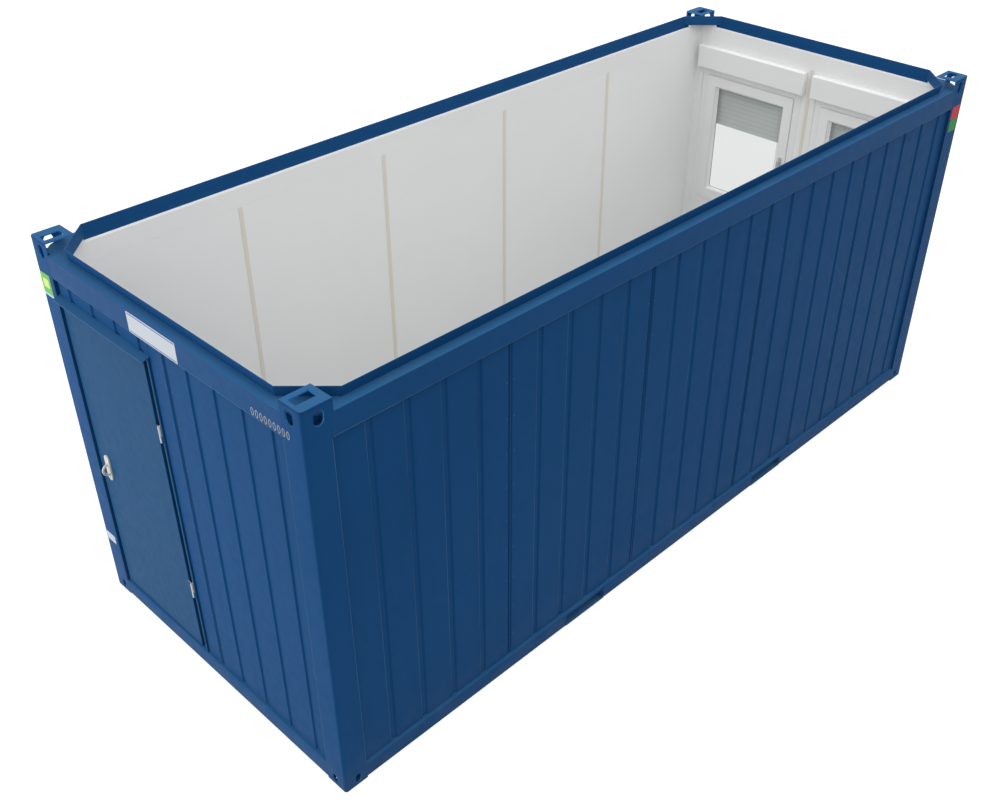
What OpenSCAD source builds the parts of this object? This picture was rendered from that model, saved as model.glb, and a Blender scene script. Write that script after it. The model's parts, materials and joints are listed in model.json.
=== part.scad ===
// Twenty-foot site cabin with its roof lifted off: a welded steel frame with corner fittings,
// grooved wall panels, white linings, a steel door in one end and two shuttered windows in the other.
// The origin is on the ground below the middle. X runs across, Y along, and the door is at the low Y end.

/* [Cabin] */
// Length over the corner fittings
length = 6055; // [4800:1:7400]
// Width over the corner fittings
width = 2435; // [2300:1:3000]
// Height over the corner fittings
height = 2591; // [2580:1:3200]

/* [Steel frame] */
// Width of each face of a corner post
post_w = 158; // [140:1:200]
// Rounding of a post's outer edge
post_edge_r = 18; // [5:1:30]
// Depth of a roof rail's box section
roof_rail_d = 70; // [60:1:85]
// Height of a roof rail's outer face
roof_rail_h = 137; // [100:1:180]
// Drop from the top of the fittings to the ledge on the roof rails
ledge_drop = 74; // [50:1:120]
// Height of the curb that stands on the ledge
curb_h = 61; // [20:1:65]
// Lean of the curb outwards over its height
curb_lean = 12; // [0:1:20]
// Thickness of the curb
curb_t = 4; // [3:1:8]
// Reach of the ledge plate in each corner past the post, along a rail
corner_reach = 122; // [100:1:200]
// Thickness of the ledge plate in each corner
corner_plate_t = 8; // [4:1:12]
// Top of the base rails above the ground
base_top = 116; // [114:1:180]
// Underside of the base rails above the ground
base_clear = 12; // [6:1:30]

/* [Corner fittings] */
// Depth of a top fitting below the top of the cabin
top_fitting_h = 152; // [130:1:200]
// Length of a top fitting past the post, along the cabin
fitting_past = 20; // [0:1:40]
// Wall of a fitting
fitting_wall = 10; // [6:1:14]
// Width of the slot in a fitting's end plate
aperture_w = 64; // [50:1:80]
// Length of the slot in a fitting's end plate
aperture_l = 116; // [90:1:124]
// Distance from the end of the cabin to the middle of the slot
aperture_in = 82; // [76:1:90]
// Distance from the outer corner to the middle of a side hole
side_hole_in = 94; // [80:1:110]
// Width of a side hole in a top fitting
side_hole_w = 58; // [40:1:66]
// Height of a side hole in a top fitting
side_hole_h = 84; // [70:1:96]
// Width of a side slot in a bottom fitting
low_slot_w = 38; // [20:1:50]
// Height of a side slot in a bottom fitting
low_slot_h = 66; // [50:1:80]

/* [Fork pockets] */
// Distance between the middles of the two fork pockets
fork_spacing = 2050; // [1200:1:2400]
// Clear width of a fork pocket
fork_w = 356; // [300:1:420]
// Clear height of a fork pocket
fork_h = 76; // [60:1:84]
// Wall of the sleeve that lines a fork pocket
fork_wall = 4; // [3:1:8]

/* [Floor] */
// Top of the floor above the ground
floor_top = 165; // [160:1:240]
// Thickness of the floor deck
deck_t = 24; // [18:1:30]
// Thickness of the sheet under the floor
under_t = 6; // [3:1:8]
// Width of a floor joist
joist_w = 45; // [30:1:60]
// Largest distance between floor joists
joist_pitch = 520; // [350:1:700]

/* [Walls] */
// Recess of the wall panels behind the frame
panel_recess = 22; // [15:1:35]
// Thickness of a wall panel
panel_t = 63.5; // [45:0.5:75]
// Thickness of the inside lining
lining_t = 12; // [8:1:19]
// Width of a wall panel module
panel_pitch = 1162.5; // [1000:0.5:1250]
// Shift of the panels' joints from the linings' joints on an end, from the left
end_shift = 18; // [-40:1:40]
// Shift of the panels' joints from the linings' joints on a side, from the door end
side_shift = 36; // [-40:1:40]
// Gap between neighbouring panels
seam = 2; // [1:0.5:4]
// Depth of the pressed grooves
groove_d = 9; // [4:1:14]
// Width of a groove at the panel's face
groove_w = 46; // [30:1:60]
// Width of a groove at its floor
groove_floor_w = 28; // [14:1:29]
// Distance from a panel's edge to its first groove
groove_first = 225; // [150:1:260]
// Distance between grooves
groove_pitch = 237.5; // [180:0.5:240]
// Width of the shallow edge fold at a seam, on each panel
edge_fold = 16; // [8:1:24]
// Drop from the top of the cabin to the top of the linings
lining_drop = 104; // [96:1:150]
// Height of the white band above the linings
band_h = 128; // [80:1:200]
// Width of a strip that covers a seam inside
strip_w = 30; // [20:1:50]
// Thickness of a strip that covers a seam inside
strip_t = 3; // [2:1:6]
// Leg of the trim in each inner corner
trim_leg = 34; // [20:1:50]

/* [Door] */
// Width of the door leaf
leaf_w = 850; // [700:1:870]
// Height of the door leaf
leaf_h = 2116; // [1900:1:2120]
// Thickness of the door leaf
leaf_t = 42; // [35:1:45]
// Recess of the leaf's face behind the frame
leaf_recess = 15; // [10:1:20]
// Gap between the leaf and the post
leaf_side_gap = 13.5; // [6:0.5:16]
// Gap under the leaf
leaf_sill_gap = 9; // [6:1:15]
// Gap between the leaf and the stop behind it
leaf_stop_gap = 5.5; // [5:0.5:8]
// Gap over the leaf
leaf_head_gap = 9; // [6:1:15]
// Width of the stop behind the leaf
stop_w = 40; // [25:1:60]
// Width of the channel that holds the hinges
hinge_channel = 45; // [36:1:55]
// Depth of that channel's floor behind the frame
channel_depth = 40; // [34:1:50]
// Width of the outer lip of the door frame
frame_lip = 17; // [12:1:40]
// Recess of that lip behind the frame
lip_recess = 11; // [5:1:20]
// Reach of the rain canopy from the wall
canopy_reach = 49; // [30:1:90]
// Fall of the canopy over its reach
canopy_fall = 15; // [5:1:30]
// Front lip of the canopy
canopy_lip = 10; // [6:1:12]
// Thickness of the canopy's sheet
canopy_t = 3; // [2:1:4]
// Height of a hinge
hinge_h = 108; // [90:1:160]
// Radius of a hinge knuckle
knuckle_r = 9; // [7:1:10]
// Height of the middle of the lower hinge above the ground
low_hinge_z = 616; // [400:1:700]
// Height of the middle of the upper hinge above the ground
high_hinge_z = 1765; // [1500:1:1900]
// Distance from the leaf's free edge to the middle of the handles
handle_inset = 102; // [80:1:150]
// Height of the middle of the handles above the ground
handle_z = 1117; // [950:1:1250]
// Height of a handle's plate
plate_h = 184; // [150:1:260]
// Width of a handle's plate
plate_w = 52; // [40:1:66]
// Thickness of a handle's plate
plate_t = 9; // [5:1:12]
// Reach of the grip from the leaf
grip_reach = 53; // [45:1:70]

/* [Windows] */
// Gap between a post and the window frame beside it
window_gap = 18; // [5:1:60]
// Width over a window's frame
window_w = 974; // [800:1:1000]
// Bottom of the window frames above the ground
window_sill = 931; // [700:1:1000]
// Height of a window's frame, below its shutter box
window_h = 1220; // [1000:1:1230]
// Height of a shutter box
box_h = 184; // [140:1:200]
// Reach of a shutter box into the room
box_reach = 52; // [30:1:80]
// Overlap of a shutter box on the wall, on each side
box_lap = 31; // [15:1:40]
// Width of a window frame's members
frame_face = 58; // [40:1:70]
// Width of a sash's members
sash_face = 86; // [60:1:100]
// Amount that a sash stands proud of the lining
sash_proud = 12; // [5:1:20]
// Thickness of a sash
sash_t = 62; // [50:1:68]
// Thickness of the glazing
glass_t = 24; // [16:1:28]
// Depth of the glazing behind the sash's face
glass_depth = 30; // [20:1:32]
// Gap between a sash and its frame
sash_gap = 3; // [2:1:6]
// Bottom of the lowered shutters above the ground
shutter_bottom = 1668; // [1000:1:2100]
// Thickness of a shutter's slats
shutter_t = 9; // [7:1:12]
// Height of a shutter slat
slat_h = 38; // [30:1:50]

/* [Hidden] */
$fn = 48;

// Sides, counted from the door end anticlockwise as seen from above
FRONT = 0;
RIGHT = 1;
BACK = 2;
LEFT = 3;

steel_blue = [0.10, 0.27, 0.46];
ledge_blue = [0.14, 0.36, 0.58];
lining_white = [0.87, 0.87, 0.86];
strip_beige = [0.82, 0.80, 0.74];
fitting_grey = [0.75, 0.75, 0.73];
shutter_grey = [0.70, 0.73, 0.72];

eps = 0.01;                                      // overrun of a cutter past a face
bite = 1;                                        // depth to which two shapes of one piece are joined
least_end = 60;                                  // narrowest length of panel beside a post
inner_d = panel_recess + panel_t + lining_t;     // outer face to the room
lining_d = panel_recess + panel_t;               // outer face to the back of the lining
base_rail_d = lining_d;                          // the panels stand on the whole depth of a base rail
ledge_z = height - ledge_drop;                   // top of the roof rails' ledge
roof_rail_z = ledge_z - roof_rail_h;             // underside of the roof rails, top of the panels
lining_top = height - lining_drop;
band_z = lining_top - band_h;                    // top of the linings, foot of the white bands
deck_z = floor_top - deck_t;
cut = post_w + corner_reach;                     // outer corner to the mitre of the curb, along a rail
corner_sum = roof_rail_d + cut;                  // x + y along the foot of a corner's curb
mitre = roof_rail_d * tan(22.5);                 // slant of the curb's mitre over the depth of a rail
sleeve_z = base_clear;                           // underside of a fork sleeve
sleeve_w = fork_w + 2 * fork_wall;
sleeve_h = fork_h + 2 * fork_wall;

leaf_u0 = post_w + leaf_side_gap;                // door leaf, along the front
leaf_u1 = leaf_u0 + leaf_w;
leaf_z0 = base_top + leaf_sill_gap;
leaf_z1 = leaf_z0 + leaf_h;
stop_d = leaf_recess + leaf_t + leaf_stop_gap;   // face of the stop behind the leaf
lip_u = leaf_u1 + hinge_channel;                 // door frame's outer lip
door_u1 = lip_u + frame_lip;                     // far edge of the door frame
head_z = leaf_z1 + leaf_head_gap;                // underside of the frame's head, over the leaf
head_t = 16;                                     // height of the head's outer lip
door_top = head_z + head_t;
canopy_z = door_top + canopy_t                   // its underside clears the head's front edge
  + canopy_fall * (panel_recess - lip_recess) / (canopy_reach - canopy_t);
hinge_gap = 5;                                   // from a knuckle to the lip beside it
hinge_u = lip_u - hinge_gap - knuckle_r;         // hinge axis
hinge_d = 12;
stop_cover = 6;                                  // width of the stop that shows past the leaf's hinged edge
canopy_side = 8;                                 // overlap of the canopy past the door frame
pin_r = 4;
pin_short = 4;                                   // from the pin's tip to the top of its hinge
pin_clearance = 0.05;                            // round the pin in its knuckle
knuckle_gap = 0.3;
arm_t = 4;                                       // arms from the knuckles to the leaf and the lip
arm_lap = 8;

frame_d = inner_d + sash_proud - sash_t;         // outer face of a window's frame, where the sash stops
guide_w = 40;                                    // width of a shutter's guide rail
guide_d = panel_recess + 2;                      // outer face of a guide rail
guide_depth = 6;                                 // from there to the slats
sash_inset = frame_face + sash_gap;

function span(side) = side % 2 == 0 ? width : length;
function reach(side) = side % 2 == 0 ? length : width;
// Panels on a side, and the place of seam k along it
function panel_count(side) = round((span(side) - 2 * post_w) / panel_pitch);
function seam_u(side, k) = (span(side) - panel_count(side) * panel_pitch) / 2 + k * panel_pitch;
// Joints that fall between the posts, all shifted along by the same amount
function joints(side, shift) = [for (k = [0:panel_count(side)])
  let (u = seam_u(side, k) + shift)
    if (abs(u - span(side) / 2) < span(side) / 2 - post_w - least_end) u];
// The panels' joints lie this far from the linings' joints
function panel_shift(side) = side % 2 == 0 ? end_shift : side == RIGHT ? side_shift : -side_shift;

// Puts a shape drawn as u along the side, d in from the outer face, z up
module on_side(side)
  rotate(90 * side) translate([-span(side) / 2, -reach(side) / 2, 0]) children();

// Puts a shape drawn with the outer corner at the origin and the cabin towards +X and +Y
module at_corner(sx, sy)
  translate([sx * width / 2, sy * length / 2, 0])
    mirror([sx > 0 ? 1 : 0, 0, 0]) mirror([0, sy > 0 ? 1 : 0, 0]) children();

module each_corner()
  for (sx = [-1, 1], sy = [-1, 1]) at_corner(sx, sy) children();

// Puts an outline drawn as [d, z] along a side from u0 to u1
module along(side, u0, u1)
  on_side(side) translate([u0, 0, 0]) rotate([90, 0, 90]) linear_extrude(u1 - u0) children();

// A square with its outer corner rounded
module rounded_corner_square(size, r)
  difference() {
    square(size);
    difference() {
      translate([-eps, -eps]) square(r + eps);
      translate([r, r]) circle(r);
    }
  }

module upright_slot(w, h)
  for (dy = [-1, 1]) {
    translate([0, dy * (h - w) / 2]) circle(d = w);
    square([w, h - w], center = true);
  }

// ---------------------------------------------------------------- steel frame

module corner_posts() {
  color(steel_blue) each_corner()
    translate([0, 0, base_top]) linear_extrude(height - top_fitting_h - base_top) difference() {
      rounded_corner_square(post_w, post_edge_r);
      translate([lining_d, lining_d]) square(post_w);
    }
}

// A hole through both outer faces of a fitting, as seen along the face
module side_holes(z, w, h) {
  translate([side_hole_in, fitting_wall / 2, z]) rotate([90, 0, 0])
    linear_extrude(fitting_wall + 2, center = true) upright_slot(w, h);
  translate([fitting_wall / 2, side_hole_in, z]) rotate([90, 0, 90])
    linear_extrude(fitting_wall + 2, center = true) upright_slot(w, h);
}

module end_plate_slot()
  translate([side_hole_in - aperture_w / 2, aperture_in - aperture_l / 2, -eps])
    cube([aperture_w, aperture_l, fitting_wall + 2 * eps]);

// Two outer walls and an end plate over an angle-shaped box, open on the inner sides above the ledge plate.
// The walls and the plate run past the post over the long roof rail's ledge.
module top_fitting(sx, sy) {
  base_z = height - top_fitting_h;
  open_z = ledge_z - corner_plate_t;
  notch = lining_d - fitting_wall;
  color(steel_blue) at_corner(sx, sy) difference() {
    union() {
      translate([0, 0, base_z]) linear_extrude(top_fitting_h) rounded_corner_square(post_w, post_edge_r);
      translate([0, post_w - bite, ledge_z]) cube([post_w, fitting_past + bite, height - ledge_z]);
    }
    translate([lining_d, lining_d, base_z - eps]) cube([post_w, post_w, open_z - base_z + 2 * eps]);
    translate([0, 0, base_z + fitting_wall]) linear_extrude(open_z - base_z) difference() {
      translate([fitting_wall, fitting_wall]) square(post_w - 2 * fitting_wall);
      translate([notch, notch]) square(post_w);
    }
    translate([fitting_wall, fitting_wall, open_z])
      cube([post_w, post_w + fitting_past, height - fitting_wall - open_z]);
    translate([0, 0, height - fitting_wall]) end_plate_slot();
    side_holes(ledge_z + 2, side_hole_w, side_hole_h);
  }
}

module bottom_fitting(sx, sy) {
  color(steel_blue) at_corner(sx, sy) difference() {
    linear_extrude(base_top) rounded_corner_square(post_w, post_edge_r);
    translate([fitting_wall, fitting_wall, fitting_wall])
      cube([post_w - 2 * fitting_wall, post_w - 2 * fitting_wall, base_top]);
    end_plate_slot();
    side_holes(fitting_wall + 6 + low_slot_h / 2, low_slot_w, low_slot_h);
  }
}

// Section of the curb as [d, z]: its foot's inner edge is at foot_d, and it sinks into what it stands on
module curb_section(foot_d, sink)
  polygon([[foot_d - curb_t, ledge_z - sink], [foot_d, ledge_z - sink], [foot_d, ledge_z],
           [foot_d - curb_lean, ledge_z + curb_h], [foot_d - curb_lean - curb_t, ledge_z + curb_h],
           [foot_d - curb_t, ledge_z]]);

module roof_rail(side) {
  weld_gap = 0.3;                                // between the mitres of two curbs
  start = cut + weld_gap;
  end = span(side) - start;
  color(steel_blue) {
    along(side, post_w, end + start - post_w)
      polygon([[0, roof_rail_z], [roof_rail_d, roof_rail_z], [roof_rail_d, ledge_z], [0, ledge_z]]);
    intersection() {
      along(side, start - mitre, end + mitre) curb_section(roof_rail_d, bite);
      on_side(side) linear_extrude(height)
        polygon([[start - mitre, 0], [end + mitre, 0], [end, roof_rail_d], [start, roof_rail_d]]);
    }
  }
}

// The ledge plate behind a top fitting: a rounded tongue inside the fitting, slanting on the room's side
module corner_plate_outline() {
  tongue_gap = 12;
  polygon([[post_w, roof_rail_d], [cut, roof_rail_d], [roof_rail_d, cut], [roof_rail_d, post_w],
           [post_w, post_w]]);
  intersection() {
    translate([fitting_wall, fitting_wall]) square(post_w - fitting_wall);
    translate([post_w, post_w]) circle(post_w - fitting_wall - tongue_gap);
  }
}

// The ledge plates in the corners, each with the slanting length of the curb
module roof_corner_plates()
  color(ledge_blue) each_corner() {
    translate([0, 0, ledge_z - corner_plate_t]) linear_extrude(corner_plate_t) corner_plate_outline();
    intersection() {
      rotate([0, 0, -45]) rotate([90, 0, 90]) linear_extrude(2 * cut, center = true)
        curb_section(corner_sum / sqrt(2), bite);
      union() {
        translate([0, 0, ledge_z]) linear_extrude(height - ledge_z)
          polygon([[0, 0], [cut - mitre, 0], [cut, roof_rail_d], [roof_rail_d, cut], [0, cut - mitre]]);
        translate([roof_rail_d, roof_rail_d, 0]) cube([cut, cut, ledge_z + bite]);
      }
    }
  }

// ---------------------------------------------------------------- base

module base_rail(side) {
  sides_with_pockets = side == LEFT || side == RIGHT;
  color(steel_blue) difference() {
    along(side, post_w, span(side) - post_w)
      polygon([[0, base_clear], [base_rail_d, base_clear], [base_rail_d, base_top], [0, base_top]]);
    if (sides_with_pockets)
      for (at = [-1, 1])
        along(side, span(side) / 2 + at * fork_spacing / 2 - sleeve_w / 2,
              span(side) / 2 + at * fork_spacing / 2 + sleeve_w / 2)
          translate([-eps, sleeve_z]) square([base_rail_d + 2 * eps, sleeve_h]);
  }
}

// Two rectangular sleeves right through the base, for the forks of a lift truck
module fork_sleeves() {
  color(ledge_blue) for (at = [-1, 1])
    translate([0, at * fork_spacing / 2, sleeve_z + sleeve_h / 2]) difference() {
      cube([width, sleeve_w, sleeve_h], center = true);
      cube([width + 2 * eps, fork_w, fork_h], center = true);
    }
}

// Joists from base rail to base rail, left out where the sleeves pass
module floor_joists() {
  sleeve_gap = 5;
  first = post_w + joist_w;
  run = length - 2 * first;
  count = ceil(run / joist_pitch);
  foot = sleeve_z + under_t;
  color(steel_blue) for (k = [0:count]) {
    y = -length / 2 + first + k * run / count;
    if (abs(abs(y) - fork_spacing / 2) > (sleeve_w + joist_w) / 2 + sleeve_gap)
      translate([-width / 2 + base_rail_d, y - joist_w / 2, foot])
        cube([width - 2 * base_rail_d, joist_w, deck_z - foot]);
  }
}

module floor_underside() {
  w = width - 2 * base_rail_d;
  edge = length / 2 - base_rail_d;
  near = fork_spacing / 2 - sleeve_w / 2;
  far = fork_spacing / 2 + sleeve_w / 2;
  color(shutter_grey) difference() {
    for (bay = [[-edge, -far], [-near, near], [far, edge]])
      translate([-w / 2, bay[0], sleeve_z]) cube([w, bay[1] - bay[0], under_t]);
    each_corner() cube([post_w, post_w, base_top]);
  }
}

module floor_deck() {
  color([0.55, 0.56, 0.56])
    translate([-width / 2 + inner_d, -length / 2 + inner_d, deck_z])
      cube([width - 2 * inner_d, length - 2 * inner_d, deck_t]);
}

// ---------------------------------------------------------------- walls

function groove_count() = floor((panel_pitch - 2 * groove_first) / groove_pitch + eps) + 1;

// One length of grooved panel from u0 to u1; fold0 and fold1 say whether its edges fold in at a seam
module panel_length(side, u0, u1, z0, z1, fold0, fold1) {
  edge_land = 3;                                 // least flat strip beside a groove
  face = panel_recess - eps;
  floor_d = panel_recess + groove_d;
  on_side(side) translate([0, 0, z0]) linear_extrude(z1 - z0) difference() {
    translate([u0, panel_recess]) square([u1 - u0, panel_t]);
    for (k = [-1:panel_count(side)], j = [0:groove_count() - 1]) {
      c = seam_u(side, k) + panel_shift(side) + groove_first + j * groove_pitch;
      if (c > u0 + groove_w / 2 + edge_land && c < u1 - groove_w / 2 - edge_land)
        polygon([[c - groove_w / 2, face], [c - groove_floor_w / 2, floor_d],
                 [c + groove_floor_w / 2, floor_d], [c + groove_w / 2, face]]);
    }
    if (fold0)
      polygon([[u0 - eps, face], [u0 - eps, floor_d], [u0 + edge_fold / 2, floor_d], [u0 + edge_fold, face]]);
    if (fold1)
      polygon([[u1 + eps, face], [u1 + eps, floor_d], [u1 - edge_fold / 2, floor_d], [u1 - edge_fold, face]]);
  }
}

// All the panels of a side from u_start to the far post
module wall_panels(side, u_start) {
  ends = concat([u_start], [for (u = joints(side, panel_shift(side))) if (u > u_start + least_end) u],
                [span(side) - post_w]);
  last = len(ends) - 2;
  for (i = [0:last])
    panel_length(side, ends[i] + (i > 0 ? seam / 2 : 0), ends[i + 1] - (i < last ? seam / 2 : 0),
                 base_top, roof_rail_z, i > 0, i < last);
}

// Lining boards of a side from u_start to u_end
module lining_boards(side, u_start, u_end) {
  ends = concat([u_start], [for (u = joints(side, 0)) if (u > u_start + least_end) u], [u_end]);
  last = len(ends) - 2;
  for (i = [0:last])
    along(side, ends[i] + (i > 0 ? seam / 2 : 0), ends[i + 1] - (i < last ? seam / 2 : 0))
      translate([lining_d, deck_z]) square([lining_t, band_z - deck_z]);
}

// The places of the windows along the back
function window_places() =
  let (inset = post_w + window_gap + window_w / 2) [inset, width - inset];

module window_holes()
  for (u = window_places())
    along(BACK, u - window_w / 2, u + window_w / 2)
      translate([0, window_sill]) square([inner_d + eps, window_h + box_h]);

module front_wall_panels()
  color(steel_blue) wall_panels(FRONT, door_u1);

module door_header_panel()
  color(steel_blue) panel_length(FRONT, post_w, door_u1, door_top, roof_rail_z, false, false);

module right_wall_panels()
  color(steel_blue) wall_panels(RIGHT, post_w);

module left_wall_panels()
  color(steel_blue) wall_panels(LEFT, post_w);

module back_wall_panels()
  color(steel_blue) difference() {
    wall_panels(BACK, post_w);
    window_holes();
  }

module front_lining()
  color(lining_white) {
    lining_boards(FRONT, door_u1, width - inner_d);
    along(FRONT, inner_d, door_u1 - seam)
      translate([lining_d, door_top]) square([lining_t, band_z - door_top]);
    along(FRONT, inner_d, post_w)
      translate([lining_d, deck_z]) square([lining_t, door_top - deck_z - seam]);
  }

module right_lining()
  color(lining_white) lining_boards(RIGHT, lining_d, length - lining_d);

module left_lining()
  color(lining_white) lining_boards(LEFT, lining_d, length - lining_d);

module back_lining()
  color(lining_white) difference() {
    lining_boards(BACK, inner_d, width - inner_d);
    window_holes();
  }

// White boards over the linings, with a lip that closes the gap to the roof rails, and higher in the corners
module upper_wall_bands() {
  lip_t = 4;
  color(lining_white) for (side = [FRONT, RIGHT, BACK, LEFT]) {
    end = side % 2 == 0 ? inner_d + seam : lining_d;
    along(side, end, span(side) - end)
      translate([lining_d, band_z]) square([lining_t, lining_top - band_z]);
    along(side, post_w + seam, span(side) - post_w - seam)
      translate([roof_rail_d, lining_top - lip_t]) square([lining_d - roof_rail_d + bite, lip_t]);
    for (start = [end, span(side) - corner_sum + inner_d])
      along(side, start, start + corner_sum - inner_d - end)
        translate([lining_d, lining_top - bite])
          square([lining_t, ledge_z - corner_plate_t - lining_top + bite]);
  }
}

// Strips over the linings' joints, which stop at the door frame and at the windows with their shutter boxes
module seam_strips()
  color(strip_beige) difference() {
    for (side = [FRONT, RIGHT, BACK, LEFT], u = joints(side, 0))
      along(side, u - strip_w / 2, u + strip_w / 2)
        translate([inner_d, floor_top]) square([strip_t, band_z - floor_top]);
    along(FRONT, 0, door_u1) square([inner_d + panel_t, door_top]);
    for (u = window_places())
      along(BACK, u - window_w / 2 - box_lap, u + window_w / 2 + box_lap)
        translate([0, window_sill]) square([inner_d + panel_t, window_h + box_h]);
  }

module inner_corner_trims()
  color(lining_white) each_corner()
    translate([inner_d, inner_d, floor_top]) linear_extrude(ledge_z - corner_plate_t - floor_top)
      difference() {
        square(trim_leg);
        translate([strip_t, strip_t]) square(trim_leg);
      }

// ---------------------------------------------------------------- windows

// A rectangular ring on the back wall, du and dz in from the window's outline, from depth d0 to d1
module window_ring(u, inset, face, d0, d1)
  difference() {
    along(BACK, u - window_w / 2 + inset, u + window_w / 2 - inset)
      translate([d0, window_sill + inset]) square([d1 - d0, window_h - 2 * inset]);
    along(BACK, u - window_w / 2 + inset + face, u + window_w / 2 - inset - face)
      translate([d0 - eps, window_sill + inset + face])
        square([d1 - d0 + 2 * eps, window_h - 2 * (inset + face)]);
  }

// Frame with a thin stop behind the sash, a sloping outer sill and two guide rails for the shutter
module window_frames() {
  stop_t = 5;
  stop_overlap = 15;
  sill_front = 6;
  sill_t = 4;
  sill_fall = 12;
  color(lining_white) for (u = window_places()) {
    window_ring(u, 0, frame_face, frame_d, inner_d);
    window_ring(u, 0, frame_face + stop_overlap, frame_d - stop_t, frame_d);
    along(BACK, u - window_w / 2, u + window_w / 2)
      polygon([[sill_front, window_sill - sill_t], [sill_front, window_sill],
               [frame_d - stop_t, window_sill + sill_fall], [frame_d, window_sill],
               [panel_recess, window_sill], [panel_recess, window_sill - sill_t]]);
    for (start = [u - window_w / 2, u + window_w / 2 - guide_w])
      along(BACK, start, start + guide_w)
        translate([guide_d, window_sill]) square([frame_d - stop_t - guide_d, window_h]);
  }
}

module window_sashes()
  color(lining_white) for (u = window_places())
    window_ring(u, sash_inset, sash_face, inner_d + sash_proud - sash_t, inner_d + sash_proud);

module window_glass()
  color([0.85, 0.90, 0.89, 0.5]) for (u = window_places()) {
    edge = sash_inset + sash_face;
    along(BACK, u - window_w / 2 + edge, u + window_w / 2 - edge)
      translate([inner_d + sash_proud - glass_depth - glass_t, window_sill + edge])
        square([glass_t, window_h - 2 * edge]);
  }

// The lowered part of each shutter: slats with a groove between neighbours
module roller_shutters() {
  top = window_sill + window_h;
  count = ceil((top - shutter_bottom) / slat_h);
  notch = 2;
  d0 = guide_d + guide_depth;
  color(shutter_grey) for (u = window_places())
    along(BACK, u - window_w / 2 + guide_w, u + window_w / 2 - guide_w)
      polygon(concat(
        [[d0 + shutter_t, shutter_bottom], [d0 + shutter_t, top], [d0 + notch, top]],
        [for (k = [0:count - 1], step = [0:2])
          let (z = max(top - (k + [0.1, 0.9, 1][step]) * slat_h, shutter_bottom))
            if (z > shutter_bottom) [step == 2 ? d0 + notch : d0, z]],
        [[d0 + notch, shutter_bottom]]));
}

module shutter_boxes() {
  z = window_sill + window_h;
  color(lining_white) for (u = window_places()) {
    along(BACK, u - window_w / 2, u + window_w / 2)
      translate([guide_d, z]) square([inner_d - guide_d + bite, box_h]);
    along(BACK, u - window_w / 2 - box_lap, u + window_w / 2 + box_lap)
      translate([inner_d, z]) square([box_reach, box_h]);
  }
}

module window_handles() {
  rose = [30, 8, 70];
  lever_r = 8;
  lever_l = 100;
  lever_d = 38;                                  // from the sash to the lever's axis
  z = window_sill + window_h / 2;
  color(fitting_grey) for (u = window_places())
    on_side(BACK) translate([u - window_w / 2 + sash_inset + sash_face / 2, inner_d + sash_proud, z]) {
      translate([0, rose[1] / 2, 0]) cube(rose, center = true);
      rotate([-90, 0, 0]) cylinder(r = lever_r, h = lever_d + lever_r);
      translate([0, lever_d, -lever_l]) cylinder(r = lever_r, h = lever_l + lever_r);
    }
}

// ---------------------------------------------------------------- door

// Jambs, head and sill round the leaf; the far jamb has the channel for the hinges
module door_frame() {
  block_u = leaf_u1 + stop_cover;
  color(steel_blue) {
    on_side(FRONT) translate([0, 0, base_top]) linear_extrude(door_top - base_top) {
      polygon([[leaf_u1 - stop_w, stop_d], [block_u, stop_d], [block_u, channel_depth],
               [lip_u, channel_depth], [lip_u, lip_recess], [door_u1, lip_recess],
               [door_u1, inner_d], [leaf_u1 - stop_w, inner_d]]);
      translate([post_w, stop_d]) square([leaf_side_gap + stop_w, inner_d - stop_d]);
    }
    along(FRONT, post_w, door_u1) {
      translate([stop_d, base_top]) square([inner_d - stop_d, floor_top - base_top]);
      translate([stop_d, leaf_z1 - stop_w]) square([inner_d - stop_d, door_top - leaf_z1 + stop_w]);
      translate([lip_recess, head_z]) square([inner_d - lip_recess, head_t]);
    }
  }
}

// Bent sheet over the door, falling outwards to a small lip
module door_canopy() {
  tip_d = panel_recess - canopy_reach;
  tip_z = canopy_z - canopy_fall;
  color(ledge_blue) along(FRONT, post_w, door_u1 + canopy_side)
    polygon([[panel_recess, canopy_z], [tip_d, tip_z], [tip_d, tip_z - canopy_lip],
             [tip_d + canopy_t, tip_z - canopy_lip], [tip_d + canopy_t, tip_z - canopy_t],
             [panel_recess, canopy_z - canopy_t]]);
}

module door_leaf()
  color(steel_blue) on_side(FRONT)
    translate([leaf_u0, leaf_recess, leaf_z0]) cube([leaf_w, leaf_t, leaf_h]);

// Lower knuckle with its pin, and the arm to the door frame's lip
module frame_hinges()
  color(fitting_grey) on_side(FRONT) for (z = [low_hinge_z, high_hinge_z])
    translate([hinge_u, hinge_d, z - hinge_h / 2]) {
      cylinder(r = knuckle_r, h = hinge_h / 2);
      cylinder(r = pin_r, h = hinge_h - pin_short);
      translate([0, lip_recess - hinge_d - arm_t, 0]) cube([lip_u - hinge_u + arm_lap, arm_t, hinge_h / 2]);
    }

// Upper knuckle, and the arm to the face of the leaf
module leaf_hinges()
  color(fitting_grey) on_side(FRONT) for (z = [low_hinge_z, high_hinge_z])
    translate([hinge_u, hinge_d, z + knuckle_gap]) difference() {
      union() {
        cylinder(r = knuckle_r, h = hinge_h / 2 - knuckle_gap);
        translate([leaf_u1 - arm_lap - hinge_u, leaf_recess - hinge_d - arm_t, 0])
          cube([hinge_u - leaf_u1 + arm_lap, arm_t, hinge_h / 2 - knuckle_gap]);
      }
      translate([0, 0, -eps]) cylinder(r = pin_r + pin_clearance, h = hinge_h);
    }

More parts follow.
